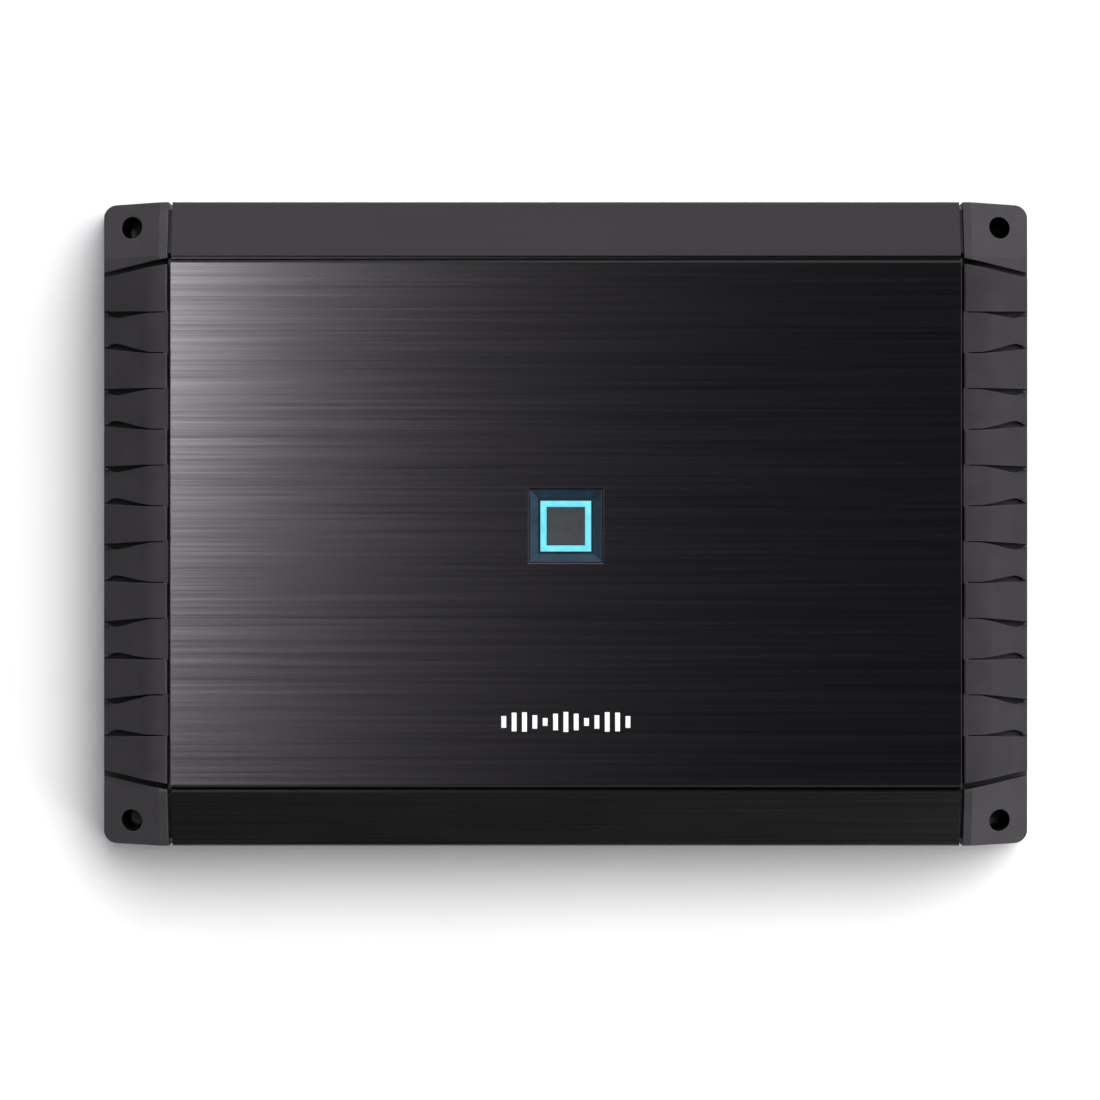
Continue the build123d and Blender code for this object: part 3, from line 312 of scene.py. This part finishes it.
def extrusion():
    """Black anodised extrusion: faint draw lines along X, a little mottling, and edges painted lighter as a
    highlight.
    """
    made = Surface("anodised_extrusion", Specular_IOR_Level=0.6)
    draw = made.noise(0.35 * MM, 3, stretch=(220, 1, 1))
    mottle = made.noise(14 * MM, 4, stretch=(3, 1, 1))
    rounded = made.rounded(0.12 * MM)
    body = made.mix(made.remap(mottle, 0, 1), cast_grey(0.004), cast_grey(0.006))
    body = made.mix(made.remap(draw, 0, 0.45), body, cast_grey(0.009))
    # painted highlight: the edges are lightened in the colour
    made.feed("Base Color", made.mix(made.edges(rounded), body, cast_grey(0.03)))
    made.feed("Roughness", made.maths("ADD", made.remap(draw, -0.05, 0.05), 0.31))
    made.feed("Normal", made.bump(draw, 0.003 * MM, rounded))
    return made


def lit_ring():
    """Frosted acrylic, lit from below, its glow a little uneven; only its upper face shines."""
    made = Surface("lit_ring", Roughness=0.35)
    glow = made.noise(3 * MM, 2)
    colour = made.mix(made.remap(glow, 0, 1), (0.12, 0.70, 0.96), (0.20, 0.88, 1.0))
    made.feed("Base Color", (0.02, 0.05, 0.06, 1))
    made.feed("Emission Color", colour)
    made.feed("Emission Strength", made.remap(made.upward(), 0.05, 1.0, source=(0.3, 0.8)))
    return made


def board_surface():
    """Green solder mask over copper tracks."""
    made = Surface("solder_masked_board", Roughness=0.3, Coat_Weight=0.3)
    inputs = {"Vector": made.place, "Scale": 1 / (3.8 * MM)}
    squares = made.add("ShaderNodeTexVoronoi", inputs, distance="CHEBYCHEV").outputs[0]
    tracks = made.remap(squares, 0, 1, source=(0.42, 0.46))
    made.feed("Base Color", made.mix(tracks, (0.006, 0.055, 0.022), (0.012, 0.11, 0.045)))
    made.feed("Roughness", made.remap(made.noise(3 * MM), 0.25, 0.4))
    made.feed("Normal", made.bump(tracks, 0.02 * MM, made.rounded(0.1 * MM)))
    return made


def enamelled_wire():
    """Copper wire under clear enamel, its tone uneven along the winding."""
    made = Surface("enamelled_copper", metallic=0.9, Coat_Weight=0.6)
    tone = made.noise(4 * MM, 3)
    made.feed("Base Color", made.mix(made.remap(tone, 0, 1), (0.36, 0.11, 0.035), (0.55, 0.20, 0.07)))
    made.feed("Roughness", made.remap(made.noise(1 * MM), 0.22, 0.34))
    return made


def fuse_plastic():
    """Green see-through moulding of a blade fuse."""
    made = Surface("fuse_moulding", Transmission_Weight=0.55, IOR=1.5)
    tone = made.noise(3 * MM, 2)
    made.feed("Base Color", made.mix(made.remap(tone, 0, 1), (0.02, 0.36, 0.09), (0.03, 0.45, 0.12)))
    made.feed("Roughness", made.remap(made.noise(0.6 * MM), 0.14, 0.24))
    made.feed("Normal", made.bump(tone, 0.01 * MM, made.rounded(0.3 * MM)))
    return made


def floor_surface():
    """Matt white paper."""
    made = Surface("pale_floor", Roughness=0.9)
    tone = made.noise(60 * MM, 3)
    made.feed("Base Color", made.mix(made.remap(tone, 0, 1), grey(0.90), grey(0.92)))
    return made


def assign(obj, surface):
    """Gives the object this one material."""
    obj.data.materials.clear()
    obj.data.materials.append(surface.material)


def casing_finishes():
    """The outside, the window in the top plate and the screws that hold it all."""
    foot = moulded("grained_foot", cast_grey(0.042), 0.60, grain=0.35 * MM, depth=0.05 * MM, edge=0.5 * MM,
                   wear_and_highlight=2.4, Specular_IOR_Level=0.1)
    cap = moulded("satin_cap", cast_grey(0.033), 0.55, grain=0.18 * MM, depth=0.006 * MM, edge=0.3 * MM,
                  wear_and_highlight=3.5, Specular_IOR_Level=0.04)
    powder = moulded("powder_coat", grey(0.020), 0.48, grain=0.3 * MM, depth=0.02 * MM, edge=0.3 * MM)
    return {
        "heatsink": extrusion(),
        "top_plate": brushed_plate(),
        "plate_mark": moulded("mark_fill", grey(0.82), 0.45, wear_and_highlight=1.05),
        "window_bezel": sunk_bezel(),
        "light_guide": lit_ring(),
        "window_centre": moulded("smoked_centre", (0.030, 0.034, 0.038), 0.3, depth=0.003 * MM),
        "end_plates": powder,
        "end_cap_left": cap,
        "end_cap_right": cap,
        "feet_left": foot,
        "feet_right": foot,
        # painted shade: the sleeves are made near black so the bottoms of the deep mounting wells read dark
        "foot_sleeves": plated("shade_dark_sleeve", grey(0.03), 0.5),
        "base_plate": powder,
        "front_panel": powder,
        "rear_panel": powder,
        "casing_screws": plated("black_zinc", (0.055, 0.055, 0.058), 0.32),
    }


def connector_finishes():
    """The sockets, controls' housings, terminals' housing and fuse holder."""
    housing = moulded("connector_housing", grey(0.014), 0.38, depth=0.008 * MM)
    return {
        "input_jack_body": housing,
        "input_jack_shells": plated("nickel_plate", (0.72, 0.70, 0.66), 0.16),
        "input_jack_contacts": plated("gold_flash", (0.80, 0.56, 0.22), 0.2),
        "jack_insulator_left": moulded("white_insulator", grey(0.70, 0.02), 0.35, wear_and_highlight=1.1),
        "jack_insulator_right": moulded("red_insulator", (0.42, 0.016, 0.012), 0.35, wear_and_highlight=1.2),
        "pot_bodies": housing,
        "switch_bodies": housing,
        "remote_jack": housing,
        "status_lens": moulded("diffuse_lens", (0.62, 0.72, 0.78), 0.25, wear_and_highlight=1.1, Transmission_Weight=0.4),
        "terminal_block": housing,
        "fuse_holder": housing,
    }


def inner_finishes():
    """The boards and what stands on them."""
    package = moulded("chip_package", grey(0.012), 0.5, grain=0.15 * MM)
    ferrite = moulded("sintered_ferrite", grey(0.035), 0.55, grain=0.4 * MM, depth=0.02 * MM, edge=0.4 * MM)
    return {
        "main_board": board_surface(),
        "indicator_board": board_surface(),
        "power_transistors": package,
        "thermal_pads": moulded("silicone_pad", (0.20, 0.24, 0.28), 0.7, grain=0.5 * MM, wear_and_highlight=1.1),
        "transistor_clamps": plated("spring_steel", (0.42, 0.43, 0.45), 0.32, streak=(40, 1, 1)),
        "transformer_core": ferrite,
        "transformer_winding": enamelled_wire(),
        "output_inductors": ferrite,
        "capacitors": moulded("capacitor_sleeve", (0.010, 0.012, 0.020), 0.28, depth=0.003 * MM),
        "control_chips": package,
        "indicator_lead": moulded("lead_sheath", grey(0.10), 0.5, grain=0.4 * MM),
    }


def finish_nodes():
    """Every carried-over CAD node gets its own finish; screws, saddles and fixings are zinc plated."""
    finishes = {**casing_finishes(), **connector_finishes(), **inner_finishes()}
    tin = plated("tinned_brass", (0.66, 0.64, 0.58), 0.28)
    zinc = plated("zinc_plate", (0.62, 0.60, 0.55), 0.30)
    knob = moulded("knob_moulding", grey(0.018), 0.42, grain=0.2 * MM, depth=0.01 * MM, wear_and_highlight=2.0)
    for name, obj in NODES.items():
        if name in finishes:
            assign(obj, finishes[name])
        elif name in KNOBS:
            assign(obj, knob)
        elif name.endswith("_slider"):
            assign(obj, moulded(f"{name}_moulding", grey(0.016), 0.4, wear_and_highlight=2.0))
        elif name.startswith("fuse_body"):
            assign(obj, fuse_plastic())
        elif name.startswith(("fuse_blades", "terminal_contacts")):
            assign(obj, tin)
        else:
            assign(obj, zinc)


# ---------------------------------------------------------------- added pieces

def box_into(mesh, low, high, turn=None):
    """A box between two corners, in metres, turned about its own middle."""
    low, high = Vector(low), Vector(high)
    size = Matrix.Diagonal((*(high - low), 1.0))
    spin = turn.to_4x4() if turn else Matrix.Identity(4)
    bmesh.ops.create_cube(mesh, size=1.0, matrix=Matrix.Translation((low + high) / 2) @ spin @ size)


def cone_into(mesh, foot, radius, height):
    """A blunt cone hanging below its foot, such as a soldered joint."""
    place = Matrix.Translation(Vector(foot) - Vector((0, 0, height / 2)))
    bmesh.ops.create_cone(
        mesh, cap_ends=True, segments=10, radius1=radius * TIP_SHARE, radius2=radius,
        depth=height, matrix=place)


def add_piece(name, mesh, surface, body, bevel=0.0):
    """Turns the built mesh into an object that rides on a body of the part."""
    data = bpy.data.meshes.new(name)
    mesh.to_mesh(data)
    mesh.free()
    obj = bpy.data.objects.new(name, data)
    bpy.context.scene.collection.objects.link(obj)
    if bevel:
        modifier = obj.modifiers.new("edges", "BEVEL")
        modifier.width = bevel
        modifier.segments = 2
    assign(obj, surface)
    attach(obj, body)
    return obj


def middle(node):
    """The middle of a node's box."""
    low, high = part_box(node)
    return (low + high) / 2


def printed_ink():
    """White screen-printing ink."""
    return moulded("printed_ink", grey(0.75), 0.5, grain=0.1 * MM, depth=0.002 * MM, wear_and_highlight=1.05)


def knob_scales():
    """Printed ticks on the panel round each knob, from one end stop to the other."""
    mesh = bmesh.new()
    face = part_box("front_panel")[0].y
    tick_step = KNOB_SWEEP / (SCALE_TICKS - 1)
    for node in KNOBS:
        shaft = Vector((middle(node).x, face, CONTROL_Z))
        for step in range(SCALE_TICKS):
            angle = math.radians(-KNOB_SWEEP / 2 + tick_step * step)
            length = SHORT_TICK if step % LONG_TICK_EVERY else LONG_TICK
            along = Vector((math.sin(angle), 0, math.cos(angle)))
            spot = shaft + along * (SCALE_RADIUS + length / 2)
            half = Vector((TICK_HALF_WIDTH, TICK_HALF_HEIGHT, length / 2))
            box_into(mesh, spot - half, spot + half, Matrix.Rotation(angle, 3, "Y"))
    add_piece("knob_scales", mesh, printed_ink(), "casing")


def knob_pointers():
    """The white line in each knob's pointer groove; it turns with the knob."""
    for node in KNOBS:
        mesh = bmesh.new()
        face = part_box(node)[0].y
        x = middle(node).x
        low = (x - POINTER_HALF_WIDTH, face + POINTER_FRONT, CONTROL_Z + POINTER_INNER)
        high = (x + POINTER_HALF_WIDTH, face + POINTER_BACK, CONTROL_Z + POINTER_OUTER)
        box_into(mesh, low, high)
        add_piece(f"{node}_pointer", mesh, printed_ink(), node, bevel=0.05 * MM)


def polarity_marks():
    """Plus and minus signs over the battery, ground and speaker terminals."""
    mesh = bmesh.new()
    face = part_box("terminal_block")[1]
    signs = {"ground": False, "battery": True, "speaker_minus": False, "speaker_plus": True}
    for name, plus in signs.items():
        spot = Vector((middle(f"{name}_terminal_screw").x, face.y, face.z - SIGN_DROP))
        arms = [Vector((SIGN_HALF_LENGTH, SIGN_HALF_HEIGHT, SIGN_HALF_WIDTH))]
        if plus:
            arms.append(Vector((SIGN_HALF_WIDTH, SIGN_HALF_HEIGHT, SIGN_HALF_LENGTH)))
        for half in arms:
            box_into(mesh, spot - half, spot + half)
    add_piece("polarity_marks", mesh, printed_ink(), "casing")


def ring_section(inner, outer, low, high, corner):
    """One turn's way round a rounded rectangle, as pairs of radius and height."""
    section = []
    for index, (r, z) in enumerate([(inner, low), (outer, low), (outer, high), (inner, high)]):
        towards = 225 + 90 * index
        r_mid = r + corner * (1 if r == inner else -1)
        z_mid = z + corner * (1 if z == low else -1)
        for part in CORNER_STEPS:
            angle = math.radians(towards) + math.radians(part)
            section.append((r_mid + corner * math.cos(angle), z_mid + corner * math.sin(angle)))
    return section


def ring_path(section, start, centre):
    """Points of a wire wound round a ring, from the start angle on."""
    points = []
    count = TURNS * len(section)
    for step in range(count):
        angle = math.radians(start + WINDING_SWEEP * step / count)
        r, z = section[step % len(section)]
        points.append(Vector((centre.x + r * math.cos(angle), centre.y + r * math.sin(angle), z)))
    return points


def tube_into(mesh, points, radius):
    """A wire along the points, closed at both ends."""
    angles = [2 * math.pi * side / WIRE_SIDES for side in range(WIRE_SIDES)]
    circle = [Vector((radius * math.cos(angle), radius * math.sin(angle), 0)) for angle in angles]
    rings = []
    for index, point in enumerate(points):
        ahead = points[min(index + 1, len(points) - 1)] - points[max(index - 1, 0)]
        turn = ahead.to_track_quat("Z", "X")
        rings.append([mesh.verts.new(point + turn @ spot) for spot in circle])
    for before, after in zip(rings, rings[1:]):
        nearest = min(range(WIRE_SIDES), key=lambda shift: (before[0].co - after[shift].co).length)
        for side in range(WIRE_SIDES):
            along = (side + 1) % WIRE_SIDES
            far_side = (side + nearest) % WIRE_SIDES
            far_along = (along + nearest) % WIRE_SIDES
            mesh.faces.new((before[side], before[along], after[far_along], after[far_side]))
    mesh.faces.new(rings[0][::-1])
    mesh.faces.new(rings[-1])


def transformer_wire():
    """The transformer's two windings, turn by turn."""
    low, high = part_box("transformer_winding")
    centre = middle("transformer_core")
    section = ring_section(
        inner=WINDING_HOLE + WIRE_RADIUS, outer=(high.y - low.y) / 2 - WIRE_RADIUS,
        low=low.z + WIRE_RADIUS, high=high.z - WIRE_RADIUS, corner=WINDING_CORNER)
    mesh = bmesh.new()
    for start in WINDING_STARTS:
        tube_into(mesh, ring_path(section, start, centre), WIRE_RADIUS)
    for face in mesh.faces:
        face.smooth = True
    wire = add_piece("transformer_wire", mesh, enamelled_wire(), "casing")
    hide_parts("transformer_winding")


def board_components():
    """Chip resistors and capacitors in short rows beside the chips."""
    mesh = bmesh.new()
    spread = random.Random(7)
    for x in CHIP_COLUMNS:
        for y in CHIP_ROWS:
            if abs(x) < LEAD_GAP_HALF and y > 0:
                continue
            long, wide = spread.choice(CHIP_SIZES)
            spot = Vector((x * MM, (y + spread.uniform(-CHIP_SHIFT, CHIP_SHIFT)) * MM, BOARD_TOP))
            half = Vector((long / 2 * MM, wide / 2 * MM, 0))
            box_into(mesh, spot - half, spot + half + Vector((0, 0, CHIP_HEIGHT * MM)))
    surface = moulded("chip_component", grey(0.05), 0.4)
    add_piece("chip_components", mesh, surface, "casing", bevel=0.08 * MM)


def solder_joints():
    """Soldered ends under the main board."""
    mesh = bmesh.new()
    spread = random.Random(11)
    for x in JOINT_COLUMNS:
        for y in JOINT_ROWS:
            if spread.random() < BARE_SHARE:
                continue
            along = (x + spread.uniform(-JOINT_SHIFT, JOINT_SHIFT)) * MM
            across = (y + spread.uniform(-JOINT_SHIFT, JOINT_SHIFT)) * MM
            radius = spread.uniform(*JOINT_RADIUS) * MM
            cone_into(mesh, (along, across, BOARD_UNDER), radius, JOINT_HEIGHT * MM)
    add_piece("solder_joints", mesh, plated("solder", (0.70, 0.70, 0.68), 0.25), "casing")


# ---------------------------------------------------------------- stage

def floor():
    """A pale sheet at the feet's undersides, much wider than the view."""
    mesh = bpy.data.meshes.new("floor")
    far = FLOOR_HALF
    corners = [(-far, -far, 0), (far, -far, 0), (far, far, 0), (-far, far, 0)]
    mesh.from_pydata(corners, [], [(0, 1, 2, 3)])
    obj = bpy.data.objects.new("floor", mesh)
    bpy.context.scene.collection.objects.link(obj)
    obj.location.z = CAD_BOX[0][2]
    assign(obj, floor_surface())


def camera():
    """Straight down from about two metres, a little off the amplifier's middle."""
    data = bpy.data.cameras.new("camera")
    data.sensor_width = CAMERA_SENSOR
    data.lens = CAMERA_LENS
    obj = bpy.data.objects.new("camera", data)
    obj.location = CAMERA_PLACE
    bpy.context.scene.collection.objects.link(obj)
    bpy.context.scene.camera = obj


def aim(obj, place, target=(0, 0, 0)):
    """Puts the object into the scene at a place, facing the target."""
    obj.location = place
    obj.rotation_euler = (Vector(target) - Vector(place)).to_track_quat("-Z", "Y").to_euler()
    bpy.context.scene.collection.objects.link(obj)


def area_light(name, place, size, power, target):
    """A soft box; it is seen in glossy surfaces as well as lighting them."""
    data = bpy.data.lights.new(name, "AREA")
    data.shape = "RECTANGLE"
    data.size, data.size_y = size
    data.energy = power
    obj = bpy.data.objects.new(name, data)
    aim(obj, place, target)
    return obj


def key_light(azimuth, elevation, strength, softness):
    """A broad, far key light for the floor's soft shadow; azimuth runs from +X towards +Y."""
    data = bpy.data.lights.new("key", "SUN")
    data.energy = strength
    data.angle = math.radians(softness)
    data.specular_factor = 0.0
    obj = bpy.data.objects.new("key", data)
    obj.visible_glossy = False
    a = math.radians(azimuth)
    e = math.radians(elevation)
    aim(obj, Vector((math.cos(a) * math.cos(e), math.sin(a) * math.cos(e), math.sin(e))) * KEY_DISTANCE)


def surround():
    """Light from all round: dim overhead and at the front left, brighter towards the back right."""
    world = bpy.data.worlds.new("studio")
    world.use_nodes = True
    bpy.context.scene.world = world
    tree = world.node_tree
    direction = add_node(tree, "ShaderNodeTexCoord").outputs["Generated"]
    height = add_node(tree, "ShaderNodeSeparateXYZ", {0: direction}).outputs["Z"]
    towards = add_node(tree, "ShaderNodeVectorMath", {0: direction, 1: BRIGHT_SIDE}, operation="DOT_PRODUCT")
    side_range = {
        "Value": towards.outputs["Value"], "From Min": SIDE_RANGE[0], "From Max": SIDE_RANGE[1],
        "To Min": SURROUND_DARK, "To Max": SURROUND_BRIGHT}
    side = add_node(tree, "ShaderNodeMapRange", side_range).outputs[0]
    low_range = {
        "Value": height, "From Min": OVERHEAD_FADE[0], "From Max": OVERHEAD_FADE[1],
        "To Min": 0.0, "To Max": 1.0}
    low = add_node(tree, "ShaderNodeMapRange", low_range, interpolation_type="SMOOTHSTEP").outputs[0]
    level = add_node(tree, "ShaderNodeMath", {0: side, 1: low}, operation="MULTIPLY").outputs[0]
    level = add_node(tree, "ShaderNodeMath", {0: level, 1: ZENITH}, operation="ADD").outputs[0]
    background = tree.nodes["Background"]
    set_socket(tree, background.inputs["Strength"], level)
    set_socket(tree, background.inputs["Color"], SURROUND_COLOUR)


def studio():
    """The surround, a sun for the shadow and two soft boxes; the plate's box shows only in reflections."""
    surround()
    key_light(azimuth=45, elevation=64, strength=3.2, softness=44)
    box = area_light("plate_box", (-0.50, 0.40, 1.25), size=(0.6, 0.8), power=10.6, target=(-0.50, 0.40, 0))
    box.visible_diffuse = False
    area_light("front_box", (0.52, -0.52, 0.45), size=(0.25, 0.25), power=1.7, target=(0.13, -0.1, 0.05))
    bpy.context.scene.view_settings.view_transform = "Standard"


camera()
studio()
floor()
finish_nodes()
knob_scales()
knob_pointers()
polarity_marks()
transformer_wire()
board_components()
solder_joints()
